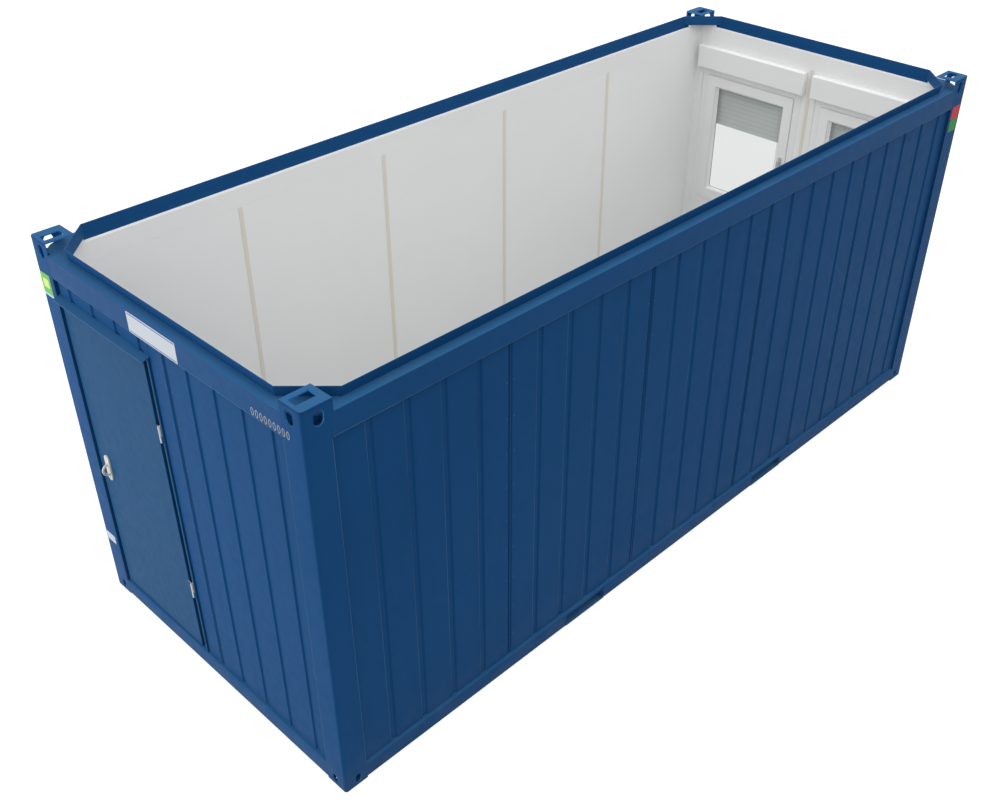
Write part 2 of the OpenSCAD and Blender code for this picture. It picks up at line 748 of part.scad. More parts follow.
// A rounded plate with a bow grip, on each face of the leaf
module handle() {
  bar_r = 7.5;
  bow_r = grip_reach - plate_t - bar_r;
  grip_drop = 12;                                // from the plate's middle down to the grip's
  rotate([90, 0, 0]) linear_extrude(plate_t) upright_slot(plate_w, plate_h);
  translate([0, bite - plate_t, -grip_drop]) rotate([0, 90, 0]) rotate([0, 0, -180])
    rotate_extrude(angle = 180) translate([bow_r, 0]) circle(bar_r);
}

module door_handles()
  color(fitting_grey) on_side(FRONT) {
    translate([leaf_u0 + handle_inset, leaf_recess, handle_z]) handle();
    translate([leaf_u0 + handle_inset, leaf_recess + leaf_t, handle_z]) mirror([0, 1, 0]) handle();
  }

// ---------------------------------------------------------------- assembly

corner_posts();
top_fitting(-1, -1);  // top_fitting_front_left
top_fitting(1, -1);  // top_fitting_front_right
top_fitting(-1, 1);  // top_fitting_back_left
top_fitting(1, 1);  // top_fitting_back_right
bottom_fitting(-1, -1);  // bottom_fitting_front_left
bottom_fitting(1, -1);  // bottom_fitting_front_right
bottom_fitting(-1, 1);  // bottom_fitting_back_left
bottom_fitting(1, 1);  // bottom_fitting_back_right
roof_rail(FRONT);  // roof_rail_front
roof_rail(RIGHT);  // roof_rail_right
roof_rail(BACK);  // roof_rail_back
roof_rail(LEFT);  // roof_rail_left
roof_corner_plates();
base_rail(FRONT);  // base_rail_front
base_rail(RIGHT);  // base_rail_right
base_rail(BACK);  // base_rail_back
base_rail(LEFT);  // base_rail_left
fork_sleeves();
floor_joists();
floor_underside();
floor_deck();
front_wall_panels();
door_header_panel();
right_wall_panels();
back_wall_panels();
left_wall_panels();
front_lining();
right_lining();
back_lining();
left_lining();
upper_wall_bands();
seam_strips();
inner_corner_trims();
window_frames();
window_sashes();
window_glass();
roller_shutters();
shutter_boxes();
window_handles();
door_frame();
door_canopy();
door_leaf();
frame_hinges();
leaf_hinges();
door_handles();
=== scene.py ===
"""A twenty-foot site cabin with its roof lifted off, finished around its construction model."""
import json
import math

import bmesh
import bpy
from mathutils import Matrix, Vector


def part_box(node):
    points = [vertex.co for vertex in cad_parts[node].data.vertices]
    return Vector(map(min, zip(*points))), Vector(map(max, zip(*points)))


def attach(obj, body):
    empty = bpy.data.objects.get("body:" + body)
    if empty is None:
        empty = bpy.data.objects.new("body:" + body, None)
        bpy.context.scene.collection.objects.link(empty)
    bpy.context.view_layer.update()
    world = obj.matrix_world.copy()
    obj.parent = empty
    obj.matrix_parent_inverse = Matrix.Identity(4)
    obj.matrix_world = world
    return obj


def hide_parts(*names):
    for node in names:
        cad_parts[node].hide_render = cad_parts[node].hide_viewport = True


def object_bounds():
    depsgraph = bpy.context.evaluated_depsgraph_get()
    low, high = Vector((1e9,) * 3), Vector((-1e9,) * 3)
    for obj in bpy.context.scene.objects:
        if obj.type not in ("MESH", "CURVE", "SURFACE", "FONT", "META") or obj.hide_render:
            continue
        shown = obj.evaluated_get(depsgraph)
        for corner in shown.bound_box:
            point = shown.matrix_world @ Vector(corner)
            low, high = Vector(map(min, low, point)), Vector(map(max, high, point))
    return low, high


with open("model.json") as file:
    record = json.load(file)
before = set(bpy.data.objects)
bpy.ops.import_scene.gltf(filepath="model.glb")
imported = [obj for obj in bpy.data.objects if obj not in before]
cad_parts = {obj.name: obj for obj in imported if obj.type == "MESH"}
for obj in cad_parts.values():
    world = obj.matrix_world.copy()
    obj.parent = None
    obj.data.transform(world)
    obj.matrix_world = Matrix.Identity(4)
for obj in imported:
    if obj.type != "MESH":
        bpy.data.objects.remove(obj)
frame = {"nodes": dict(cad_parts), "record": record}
cad_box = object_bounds()

# ------------------------ camera, floor and light
# The viewer stands above and in front of the right corner, high enough to look down into the room.
# The light is a soft sky, stronger overhead, with one low lamp towards the door end. The floor is plain
# and pale, and shows white to the eye.

camera = bpy.data.objects.new("camera", bpy.data.cameras.new("camera"))
bpy.context.collection.objects.link(camera)
camera.location = (4.7742, -5.3608, 5.5060)
camera.rotation_euler = (math.radians(54.623), math.radians(-0.045), math.radians(44.736))
camera.data.lens = 42.42
camera.data.sensor_width = 36
camera.data.shift_x = -0.0054
camera.data.shift_y = 0.0211
camera.data.clip_end = 200
scene = bpy.context.scene
scene.camera = camera
scene.view_settings.view_transform = "Standard"


def add_node(tree, kind, inputs=None, **settings):
    """A new node with its settings made, and with each named input set to a value or linked to a socket."""
    node = tree.nodes.new("ShaderNode" + kind)
    for name, value in settings.items():
        setattr(node, name, value)
    for name, value in (inputs or {}).items():
        if isinstance(value, bpy.types.NodeSocket):
            tree.links.new(value, node.inputs[name])
        else:
            node.inputs[name].default_value = value
    return node


def white_to_the_eye(tree):
    """1 where a camera, mirror or glass ray looks at the surface, and 0 for the light it gives."""
    path = add_node(tree, "LightPath")
    either = add_node(tree, "Math", {0: path.outputs["Is Camera Ray"],
                                     1: path.outputs["Is Glossy Ray"]}, operation="MAXIMUM")
    return add_node(tree, "Math", {0: either.outputs[0], 1: path.outputs["Is Transmission Ray"]},
                    operation="MAXIMUM").outputs[0]


SKY_LOW, SKY_RISE = 0.35, 1.40  # the sky's level at the horizon, and how much more there is overhead
world = bpy.data.worlds.new("pale sky")
world.use_nodes = True
scene.world = world
sky = world.node_tree
sky.nodes.clear()
direction = add_node(sky, "TexCoord").outputs["Generated"]
upward = add_node(sky, "SeparateXYZ", {0: direction}).outputs["Z"]
level = add_node(sky, "Math", {0: upward, 1: SKY_RISE, 2: SKY_LOW}, operation="MULTIPLY_ADD")
lit = add_node(sky, "Background", {"Color": (1, 1, 1, 1), "Strength": level.outputs[0]})
seen = add_node(sky, "Background", {"Color": (1, 1, 1, 1), "Strength": 1.0})
choose = add_node(sky, "MixShader", {0: white_to_the_eye(sky), 1: lit.outputs[0],
                                     2: seen.outputs[0]})
add_node(sky, "OutputWorld", {0: choose.outputs[0]})


def lamp(name, place, target, size, power):
    data = bpy.data.lights.new(name, "AREA")
    data.shape = "DISK"
    data.size = size
    data.energy = power
    light = bpy.data.objects.new(name, data)
    light.location = place
    light.rotation_euler = (Vector(target) - Vector(place)).to_track_quat("-Z", "Y").to_euler()
    bpy.context.collection.objects.link(light)


lamp("front lamp", (-5.0, -10.0, 1.6), (-0.4, -3, 1.3), 3.0, 360)

FLOOR_TONE = 0.32  # what the floor throws back onto the cabin
FLOOR_GLOW = 0.80  # added to the eye's view of it, under the cabin's shadow
FLOOR_REACH = 60  # metres out from the cabin's middle
ground = bpy.data.meshes.new("ground")
bm = bmesh.new()
bmesh.ops.create_grid(bm, x_segments=1, y_segments=1, size=FLOOR_REACH)
bm.to_mesh(ground)
bm.free()
floor = bpy.data.objects.new("ground", ground)
bpy.context.collection.objects.link(floor)
pale = bpy.data.materials.new("pale ground")
pale.use_nodes = True
tree = pale.node_tree
tree.nodes.clear()
matt = add_node(tree, "BsdfDiffuse", {"Color": (FLOOR_TONE, FLOOR_TONE, FLOOR_TONE, 1)})
glow = add_node(tree, "Emission", {"Strength": FLOOR_GLOW})
both = add_node(tree, "AddShader", {0: matt.outputs[0], 1: glow.outputs[0]})
choose = add_node(tree, "MixShader", {0: white_to_the_eye(tree), 1: matt.outputs[0],
                                      2: both.outputs[0]})
add_node(tree, "OutputMaterial", {0: choose.outputs[0]})
ground.materials.append(pale)

# ------------------------ bottom corner fittings
# Cast steel boxes with a slot in the foot plate and in each outer face, for locking cones and lashings.
# They are welded between the posts and the base rails, and painted blue with the rest of the frame.


def box_of(node):
    """A CAD node's lowest and highest corners, as vectors."""
    return [Vector(corner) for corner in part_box(node)]


post_low, post_high = box_of("corner_posts")
half_width, half_length = post_high.x, post_high.y
post_foot, post_head = post_low.z, post_high.z
post_width = half_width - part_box("roof_rail_front")[1][0]
PLATE_THICK = 0.008  # the corner ledge plates, which lie level with the rails' ledges
ledge_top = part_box("roof_corner_plates")[0][2] + PLATE_THICK


def start_group(name, inputs, outputs):
    """An empty shader node group with named inputs, each a kind and a value, and named outputs."""
    group = bpy.data.node_groups.new(name, "ShaderNodeTree")
    for label, (kind, value) in inputs.items():
        socket = group.interface.new_socket(label, in_out="INPUT", socket_type="NodeSocket" + kind)
        socket.default_value = value
    for label, kind in outputs.items():
        group.interface.new_socket(label, in_out="OUTPUT", socket_type="NodeSocket" + kind)
    return group, group.nodes.new("NodeGroupInput").outputs, group.nodes.new("NodeGroupOutput").inputs


def own_place(tree):
    """Where a point of a piece is, in the cabin's frame."""
    return add_node(tree, "TexCoord").outputs["Object"]


def own_height(tree):
    return add_node(tree, "SeparateXYZ", {0: own_place(tree)}).outputs["Z"]


def noise(tree, scale, detail=2.0, stretch=(1, 1, 1)):
    """Cloudy noise from 0 to 1, with so many patches to the metre. A stretch below 1 draws them out along
    its axis."""
    turned = add_node(tree, "Mapping", {"Vector": own_place(tree), "Scale": stretch})
    return add_node(tree, "TexNoise", {"Vector": turned.outputs[0], "Scale": scale,
                                       "Detail": detail}).outputs[0]


def spread(tree, value, low, high, to_low, to_high):
    """The value's range from low to high drawn out to run from to_low to to_high, and held there."""
    return add_node(tree, "MapRange", {"Value": value, "From Min": low, "From Max": high,
                                       "To Min": to_low, "To Max": to_high}).outputs[0]


def sum_of(tree, operation, first, second):
    return add_node(tree, "Math", {0: first, 1: second}, operation=operation).outputs[0]


def toned(tree, color, value):
    """The colour made lighter or darker by a factor near 1."""
    return add_node(tree, "HueSaturation", {"Color": color, "Value": value}).outputs[0]


def bumped(tree, height, distance, strength=1.0):
    """The normals of a relief so many metres deep."""
    return add_node(tree, "Bump", {"Height": height, "Distance": distance,
                                   "Strength": strength}).outputs[0]


def blended(tree, mask, first, second):
    return add_node(tree, "Mix", {"Factor": mask, 6: first, 7: second}, data_type="RGBA").outputs[2]


def upward_part(tree):
    """1 on a face that looks straight up, and 0 on an upright one."""
    facing = add_node(tree, "NewGeometry").outputs["Normal"]
    return add_node(tree, "SeparateXYZ", {0: facing}).outputs["Z"]


# Settled dust: low on the walls, and in thin patches on whatever faces up
dust, given, result = start_group("settled dust", {
    "Color": ("Color", (0.5, 0.5, 0.5, 1)), "Dust Color": ("Color", (0.33, 0.33, 0.32, 1)),
    "Amount": ("Float", 0.2), "Splash Height": ("Float", 0.45)}, {"Color": "Color", "Mask": "Float"})
facing_up = spread(dust, upward_part(dust), 0.75, 1.0, 0.0, 1.0)
low_down = sum_of(dust, "SUBTRACT", 1.0, sum_of(dust, "DIVIDE", own_height(dust), given["Splash Height"]))
low_down = sum_of(dust, "POWER", sum_of(dust, "MAXIMUM", low_down, 0.0), 2.0)
splash = sum_of(dust, "MULTIPLY", low_down, spread(dust, noise(dust, 7.0, 4.0), 0.35, 0.75, 0.2, 1.0))
film = sum_of(dust, "MULTIPLY", facing_up, spread(dust, noise(dust, 2.5, 4.0), 0.35, 0.75, 0.20, 0.50))
mask = sum_of(dust, "MULTIPLY", sum_of(dust, "MAXIMUM", splash, film), given["Amount"])
dust.links.new(blended(dust, mask, given["Color"], given["Dust Color"]), result["Color"])
dust.links.new(mask, result["Mask"])

# Sprayed or rolled paint: a little cloudiness, faint rain streaks, a paler blue on faces that look up, which
# is painted light from above, and the orange peel of the film
paint_film, given, result = start_group("paint film", {
    "Color": ("Color", (0.5, 0.5, 0.5, 1)), "Roughness": ("Float", 0.5), "Cloudiness": ("Float", 0.04),
    "Streaks": ("Float", 0.03), "Orange Peel": ("Float", 0.1), "Dust": ("Float", 0.2),
    "Lit Top Color": ("Color", (0.014, 0.098, 0.240, 1)), "Lit Top Amount": ("Float", 0.9)},
    {"Color": "Color", "Roughness": "Float", "Normal": "Vector"})
clouds = spread(paint_film, noise(paint_film, 0.8, 3.0), 0.3, 0.7, -1.0, 1.0)
streaks = spread(paint_film, noise(paint_film, 14.0, 2.0, (1, 1, 0.03)), 0.35, 0.65, -1.0, 1.0)
shift = sum_of(paint_film, "ADD", sum_of(paint_film, "MULTIPLY", clouds, given["Cloudiness"]),
               sum_of(paint_film, "MULTIPLY", streaks, given["Streaks"]))
# Faces that look up are blended towards a paler blue, as painted top light.
facing_up = spread(paint_film, upward_part(paint_film), 0.5, 1.0, 0.0, 1.0)
lit_tops = blended(paint_film, sum_of(paint_film, "MULTIPLY", facing_up, given["Lit Top Amount"]), given["Color"],
                given["Lit Top Color"])
settled = add_node(paint_film, "Group", node_tree=dust)
paint_film.links.new(toned(paint_film, lit_tops, sum_of(paint_film, "ADD", shift, 1.0)),
                     settled.inputs["Color"])
paint_film.links.new(given["Dust"], settled.inputs["Amount"])
paint_film.links.new(settled.outputs["Color"], result["Color"])
patchy = spread(paint_film, noise(paint_film, 18.0, 3.0), 0.3, 0.7, -0.05, 0.05)
rough = sum_of(paint_film, "ADD", given["Roughness"], patchy)
rough = sum_of(paint_film, "ADD", rough, sum_of(paint_film, "MULTIPLY", settled.outputs["Mask"], 0.5))
paint_film.links.new(rough, result["Roughness"])
ripple = sum_of(paint_film, "MULTIPLY", noise(paint_film, 260.0, 2.0), given["Orange Peel"])
paint_film.links.new(bumped(paint_film, ripple, 0.0006), result["Normal"])


def surface(name, roughness=0.5, metallic=0.0, specular=0.5):
    """A material, its node tree and its shader, with the plain numbers set."""
    material = bpy.data.materials.new(name)
    material.use_nodes = True
    shader = material.node_tree.nodes["Principled BSDF"]
    shader.inputs["Roughness"].default_value = roughness
    shader.inputs["Metallic"].default_value = metallic
    shader.inputs["Specular IOR Level"].default_value = specular
    return material, material.node_tree, shader


def fed(tree, shader, color, roughness=None, relief=None):
    """Links the colour, and the roughness and normals where they are given, to a material's shader."""
    for name, value in (("Base Color", color), ("Roughness", roughness), ("Normal", relief)):
        if value is not None:
            tree.links.new(value, shader.inputs[name])


def faced_with(group, name, color, roughness, specular, settings):
    """A material whose colour, roughness and relief come from a group, with the group's inputs set."""
    material, tree, shader = surface(name, roughness, 0.0, specular)
    face = add_node(tree, "Group", node_tree=group)
    face.inputs["Color"].default_value = (*color, 1)
    face.inputs["Roughness"].default_value = roughness
    for label, value in settings.items():
        face.inputs[label.replace("_", " ").title()].default_value = value
    fed(tree, shader, *[face.outputs[name] for name in ("Color", "Roughness", "Normal")])
    return material


def painted(name, color, roughness, specular, **film_settings):
    """Paint on steel, whose film settings are the inputs of the paint film."""
    return faced_with(paint_film, name, color, roughness, specular, film_settings)


def eased(node, body, material, radius, of_edge=None, segments=2):
    """A copy of a CAD node with its edges rounded, which takes the node's place.

    of_edge, given an edge's middle and its direction, may return another radius for it, up to this one."""
    mesh = bpy.data.meshes.new(node + "_eased")
    bm = bmesh.new()
    bm.from_mesh(frame["nodes"][node].data)
    bmesh.ops.remove_doubles(bm, verts=bm.verts, dist=0.00002)
    bmesh.ops.dissolve_limit(bm, angle_limit=math.radians(0.5), verts=bm.verts, edges=bm.edges)
    weight = bm.edges.layers.float.new("bevel_weight_edge")
    for edge in bm.edges:
        if edge.is_manifold and edge.calc_face_angle() > math.radians(30):
            start, end = edge.verts[0].co, edge.verts[1].co
            wanted = of_edge((start + end) / 2, (end - start).normalized()) if of_edge else radius
            edge[weight] = wanted / radius
            edge.smooth = wanted > 0
    for face in bm.faces:
        face.smooth = True
    bm.to_mesh(mesh)
    bm.free()
    if "custom_normal" in mesh.attributes:
        mesh.attributes.remove(mesh.attributes["custom_normal"])
    piece = bpy.data.objects.new(node + "_finished", mesh)
    bpy.context.collection.objects.link(piece)
    rounding = piece.modifiers.new("eased edges", "BEVEL")
    rounding.width = radius
    rounding.segments = segments
    rounding.limit_method = "WEIGHT"
    rounding.harden_normals = True
    mesh.materials.append(material)
    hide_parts(node)
    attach(piece, body)
    return piece


def near(value, target):
    return abs(abs(value) - target) < 0.0006


BLUE = (0.0078, 0.067, 0.200)
frame_paint = painted("blue frame paint", BLUE, 0.50, 0.035, cloudiness=0.03, streaks=0.02, orange_peel=0.10,
                      dust=0.10)
# The faces inside the castings get a far paler blue than the frame: painted light that stands in for the
# light which hardly reaches into their hollows.
inside_painted_light = painted("paler blue painted light inside castings", (0.034, 0.190, 0.480), 0.55, 0.05, dust=0.0)
CORNER_CURVE = 0.018  # radius of the frame's upright corner edges
SKIN = 0.004  # a face this far in from the outside is inside the casting


def light_inside_by_paint(fitting):
    """Gives the paler blue of painted light to every face of a fitting that isn't on its outside."""
    fitting.data.materials.append(inside_painted_light)
    for face in fitting.data.polygons:
        out_x, out_y = abs(face.center.x) - half_width, abs(face.center.y) - half_length
        out_z = abs(face.center.z - cad_box[1][2] / 2) - cad_box[1][2] / 2
        in_curve = math.hypot(max(out_x + CORNER_CURVE, 0),
                              max(out_y + CORNER_CURVE, 0)) > CORNER_CURVE - SKIN
        if max(out_x, out_y, out_z) < -SKIN and not in_curve:
            face.material_index = 1


def beside_rail(middle):
    """True where a fitting or a post meets a rail's end."""
    return near(middle.x, half_width - post_width) or near(middle.y, half_length - post_width)


def on_outside(middle):
    return near(middle.x, half_width) or near(middle.y, half_length)


def upright(run):
    return abs(run.z) > 0.9


def bottom_fitting_edge(middle, run):
    """Leaves the edges welded to the post and the base rails sharp."""
    return 0.0 if near(middle.z, post_foot) or (upright(run) and beside_rail(middle)) else 0.003


for end in ("front", "back"):
    for hand in ("left", "right"):
        light_inside_by_paint(eased("bottom_fitting_%s_%s" % (end, hand), "cabin", frame_paint, 0.003,
                           bottom_fitting_edge))

# ------------------------ base rails
# Rolled steel channels between the bottom fittings, with a generous bend along the top where the wall
# panels stand. Two sleeves for lift-truck forks run right through the long ones, welded round their mouths.

BEND = 0.010


def base_edge(middle, run):
    if beside_rail(middle):
        return 0.0
    if on_outside(middle) and near(middle.z, post_foot):
        return BEND
    return 0.0015 if upright(run) else 0.002


for side in ("front", "right", "back", "left"):
    eased("base_rail_" + side, "cabin", frame_paint, BEND, base_edge, 3)

sleeve_low, sleeve_high = box_of("fork_sleeves")
# The fork sleeves take a paler blue than the frame, painted light that brightens the inside of the pockets.
sleeve_painted_light = painted("lighter blue sleeve plate, painted light", (0.016, 0.100, 0.250), 0.48, 0.06, cloudiness=0.03, streaks=0.02,
                       orange_peel=0.10, dust=0.16)
eased("fork_sleeves", "cabin", sleeve_painted_light, 0.0012)


def finish_piece(name, bm, body, material, wall=None, sharp=35):
    """Turns a bmesh drawn in the cabin's frame, or on a wall, into a piece that rides on a body."""
    if wall is not None:
        bmesh.ops.transform(bm, matrix=wall, verts=bm.verts)
    bmesh.ops.remove_doubles(bm, verts=bm.verts, dist=0.00001)
    bmesh.ops.recalc_face_normals(bm, faces=bm.faces)
    mesh = bpy.data.meshes.new(name)
    bm.to_mesh(mesh)
    bm.free()
    mesh.materials.append(material)
    for face in mesh.polygons:
        face.use_smooth = True
    mesh.set_sharp_from_angle(angle=math.radians(sharp))
    piece = bpy.data.objects.new(name, mesh)
    bpy.context.collection.objects.link(piece)
    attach(piece, body)
    return piece


def weld_beads(name, routes, radius, material, closed=False):
    """Round beads along routes of points, as one mesh: welds, seals, and lines of painted highlight or shade.
    """
    curve = bpy.data.curves.new(name, "CURVE")
    curve.dimensions = "3D"
    curve.bevel_depth = radius
    curve.bevel_resolution = 1
    for route in routes:
        spline = curve.splines.new("POLY")
        spline.points.add(len(route) - 1)
        for point, place in zip(spline.points, route):
            point.co = (*place, 1)
        spline.use_cyclic_u = closed
    holder = bpy.data.objects.new(name + "_route", curve)
    mesh = bpy.data.meshes.new_from_object(holder)
    bpy.data.objects.remove(holder)
    bm = bmesh.new()
    bm.from_mesh(mesh)
    return finish_piece(name, bm, "cabin", material, sharp=80)


POCKET_PITCH = 2.050  # between the middles of the two pockets
fork_middle = POCKET_PITCH / 2
sleeve_outer = sleeve_high.y - fork_middle
mouths = []
for sx in (-1, 1):
    for sy in (-1, 1):
        x = sx * (half_width + 0.0002)
        mouths.append([(x, sy * fork_middle + dy * sleeve_outer, sleeve_low.z if up < 0 else sleeve_high.z)
                       for dy, up in ((-1, -1), (1, -1), (1, 1), (-1, 1))])
weld_beads("fork_sleeve_welds", mouths, 0.0022, frame_paint, closed=True)

# ------------------------ floor structure
# Folded steel joists between the base rails, a galvanised sheet below them that keeps the insulation dry,
# and a board deck covered in hard-wearing vinyl, speckled in greys.

primer = painted("dark blue primer", (0.018, 0.075, 0.17), 0.6, 0.2, cloudiness=0.08, streaks=0.0,
                 orange_peel=0.16, dust=0.35)
eased("floor_joists", "cabin", primer, 0.002)

zinc, tree, shader = surface("galvanised sheet", 0.42, 0.75)
place = own_place(tree)
spangle = add_node(tree, "TexVoronoi", {"Vector": place, "Scale": 70.0}).outputs["Color"]
flake = add_node(tree, "SeparateColor", {0: spangle}).outputs[0]
ribs = add_node(tree, "TexWave", {"Vector": place, "Scale": 2.0}, bands_direction="Y")
pressed = spread(tree, ribs.outputs["Fac"], 0.80, 0.95, 0.0, 1.0)
fed(tree, shader, blended(tree, spread(tree, flake, 0.0, 1.0, 0.0, 1.0), (0.40, 0.42, 0.44, 1),
                          (0.52, 0.54, 0.55, 1)),
    spread(tree, flake, 0.0, 1.0, 0.34, 0.50), bumped(tree, pressed, 0.006, 0.8))
eased("floor_underside", "cabin", zinc, 0.001)

vinyl, tree, shader = surface("speckled floor vinyl", 0.45, 0.0, 0.35)
chips = add_node(tree, "TexVoronoi", {"Vector": own_place(tree), "Scale": 190.0}).outputs["Color"]
chip = add_node(tree, "SeparateColor", {0: chips}).outputs[0]
tone = blended(tree, spread(tree, chip, 0.72, 0.78, 0.0, 1.0), (0.41, 0.42, 0.425, 1), (0.60, 0.61, 0.61, 1))
tone = blended(tree, spread(tree, chip, 0.20, 0.24, 1.0, 0.0), tone, (0.24, 0.25, 0.26, 1))
worn = add_node(tree, "Group", {"Amount": 0.25, "Color": tone}, node_tree=dust)
fed(tree, shader, worn.outputs["Color"], spread(tree, noise(tree, 3.0, 4.0), 0.3, 0.7, 0.36, 0.55),
    bumped(tree, noise(tree, 420.0), 0.0004, 0.5))
eased("floor_deck", "cabin", vinyl, 0.001)

# ------------------------ corner posts
# Cold-rolled posts, folded to a soft outer edge and welded between the fittings. Each carries the panels
# of two walls against its inner flanges.


def post_edge(middle, run):
    if near(middle.z, post_foot) or near(middle.z, post_head):
        return 0.0
    return 0.003


eased("corner_posts", "cabin", frame_paint, 0.003, post_edge)

# ------------------------ top corner fittings
# Two thick walls and an end plate with a slot for a locking cone. The plate is welded on just below its
# rounded rim. The long wall runs a little past the post, over the ledge of the rail.


def in_side_hole(middle):
    """True at the rim of a hole in a fitting's outer face."""
    if near(middle.x, half_width):
        inwards = half_length - abs(middle.y)
    elif near(middle.y, half_length):
        inwards = half_width - abs(middle.x)
    else:
        return False
    wall = 0.025  # the least metal between a hole and the fitting's upright edges
    return wall < inwards < post_width - wall and post_head < middle.z < cad_box[1][2] - 0.008


def top_fitting_edge(middle, run):
    if near(middle.z, post_head):
        return 0.0
    if middle.z < ledge_top and beside_rail(middle):
        return 0.0
    if in_side_hole(middle):
        return 0.005
    at_rim = middle.z > cad_box[1][2] - 0.001 and abs(run.z) < 0.1
    in_curve = math.hypot(abs(middle.x) - half_width + CORNER_CURVE,
                          abs(middle.y) - half_length + CORNER_CURVE) > CORNER_CURVE - 0.001
    return 0.005 if at_rim and (on_outside(middle) or in_curve) else 0.0022


for end in ("front", "back"):
    for hand in ("left", "right"):
        light_inside_by_paint(eased("top_fitting_%s_%s" % (end, hand), "cabin", frame_paint, 0.005,
                           top_fitting_edge, 3))


def round_the_corner(sx, sy, radius, reach_x, reach_y, z):
    """A route along two outer faces of a corner and round its edge, from reach_x in to reach_y in."""
    arc = [(radius - radius * math.sin(turn), radius - radius * math.cos(turn))
           for turn in [math.radians(90 * step / 6) for step in range(7)]]
    return [(sx * (half_width - x), sy * (half_length - y), z) for x, y in [(reach_x, 0), *arc, (0, reach_y)]]


fitting_low, fitting_high = box_of("top_fitting_front_right")
fitting_length = fitting_high.y - fitting_low.y
# The weld bead round each fitting just below its rim is coloured a dark blue, as painted shade of the line
# under the rim.
rim_weld_painted_shade = painted("weld bead in painted shade", (0.004, 0.034, 0.105), 0.5, 0.035, orange_peel=0.2, dust=0.0)
weld_beads("top_fitting_welds_in_shade",
           [round_the_corner(sx, sy, CORNER_CURVE, post_width, fitting_length, fitting_high.z - 0.010)
            for sx in (-1, 1) for sy in (-1, 1)], 0.0020, rim_weld_painted_shade)

# ------------------------ roof rails and corner ledges
# Box rails with a flat ledge, and a thin curb along the inner edge that leans outwards and carries the
# roof's edge. The curb is welded down on both sides, and mitred to the slanting lengths in the corners.

RAIL_LIP = 0.004


def rail_edge(middle, run):
    if beside_rail(middle):
        return 0.0
    return RAIL_LIP if on_outside(middle) else 0.0012


rail_paint = painted("blue roof rail paint", BLUE, 0.47, 0.05, cloudiness=0.03, streaks=0.01,
                     orange_peel=0.10, dust=0.12)
for side in ("front", "right", "back", "left"):
    eased("roof_rail_" + side, "cabin", rail_paint, RAIL_LIP, rail_edge, 3)

# The corner plates, and the door canopy below, face up and get a paler blue than the frame: painted light
# from above.
ledge_paint_lit_top = painted("paler blue ledge paint, painted top light", (0.0095, 0.076, 0.208), 0.46, 0.07, cloudiness=0.03, streaks=0.0,
                      orange_peel=0.10, dust=0.10)
eased("roof_corner_plates", "cabin", ledge_paint_lit_top, 0.0012)


def wall_matrix(side):
    """From a place along a wall, in from its outer face and up, to the cabin's frame. Wall 0 is the door's,
    and the others follow anticlockwise as seen from above."""
    span, reach = (half_width, half_length) if side % 2 == 0 else (half_length, half_width)
    return Matrix.Rotation(math.radians(90 * side), 4, "Z") @ Matrix.Translation((-span, -reach, 0))


def wall_span(side):
    return 2 * (half_width if side % 2 == 0 else half_length)


rail_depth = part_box("roof_rail_front")[1][1] + half_length
curb_cut = post_width + 0.122  # where a curb meets its slanting length
curb_thick = 0.004
foot_lines = []
for side in range(4):
    for depth in (rail_depth + 0.0002, rail_depth - curb_thick):
        foot_lines.append([wall_matrix(side) @ Vector((u, depth, ledge_top))
                           for u in (curb_cut, wall_span(side) - curb_cut)])
weld_beads("curb_welds", foot_lines, 0.0015, frame_paint)

# Butt joints in the folded edge of the rails, on the room's side, filled with dark sealant
sealant, tree, shader = surface("dark sealant", 0.7)
fed(tree, shader, toned(tree, (0.012, 0.020, 0.035, 1), spread(tree, noise(tree, 60.0), 0.3, 0.7, 0.7, 1.3)))


def add_slab(bm, low, high, rounding=0.0, segments=2):
    """A block between two corners, with its edges rounded."""
    low, high = Vector(low), Vector(high)
    verts = bmesh.ops.create_cube(bm, size=1.0)["verts"]
    bmesh.ops.scale(bm, vec=high - low, verts=verts)
    bmesh.ops.translate(bm, vec=(low + high) / 2, verts=verts)
    if rounding:
        edges = list(dict.fromkeys(edge for vert in verts for edge in vert.link_edges))
        bmesh.ops.bevel(bm, geom=edges, offset=rounding, segments=segments, profile=0.5, affect="EDGES",
                        material=-1)


def added_since(bm, before):
    return [vert for vert in bm.verts if vert not in before]


RAIL_JOINTS = (0.19, 0.31, 0.73, 0.855)  # how far along the end rails, as shares of the cabin's width
bm = bmesh.new()
for share in RAIL_JOINTS:
    for side in (0, 2):
        at = wall_span(side) * (1 - share)
        before = set(bm.verts)
        add_slab(bm, (at - 0.001, rail_depth - 0.001, ledge_top - 0.028),
                 (at + 0.001, rail_depth + 0.0006, ledge_top - 0.002))
        bmesh.ops.transform(bm, matrix=wall_matrix(side), verts=added_since(bm, before))
finish_piece("rail_joint_sealant", bm, "cabin", sealant)

# ------------------------ outer wall panels
# Insulated panels faced in coil-coated steel, pressed with shallow grooves and folded in at each joint.
# They stand on the base rails, and blind rivets hold their edges to the joint profile behind.

panel_paint = painted("coil-coated panel blue", (0.0078, 0.066, 0.196), 0.50, 0.035, cloudiness=0.025,
                      streaks=0.02, orange_peel=0.07, dust=0.12)
panel_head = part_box("roof_rail_front")[0][2]
PRESSED = 0.0035  # radius of the pressed grooves' bends


def panel_edge(middle, run):
    return PRESSED if upright(run) else 0.0


WALL_PANELS = ("front_wall_panels", "right_wall_panels", "back_wall_panels", "left_wall_panels")
for node in WALL_PANELS + ("door_header_panel",):
    eased(node, "cabin", panel_paint, PRESSED, panel_edge)


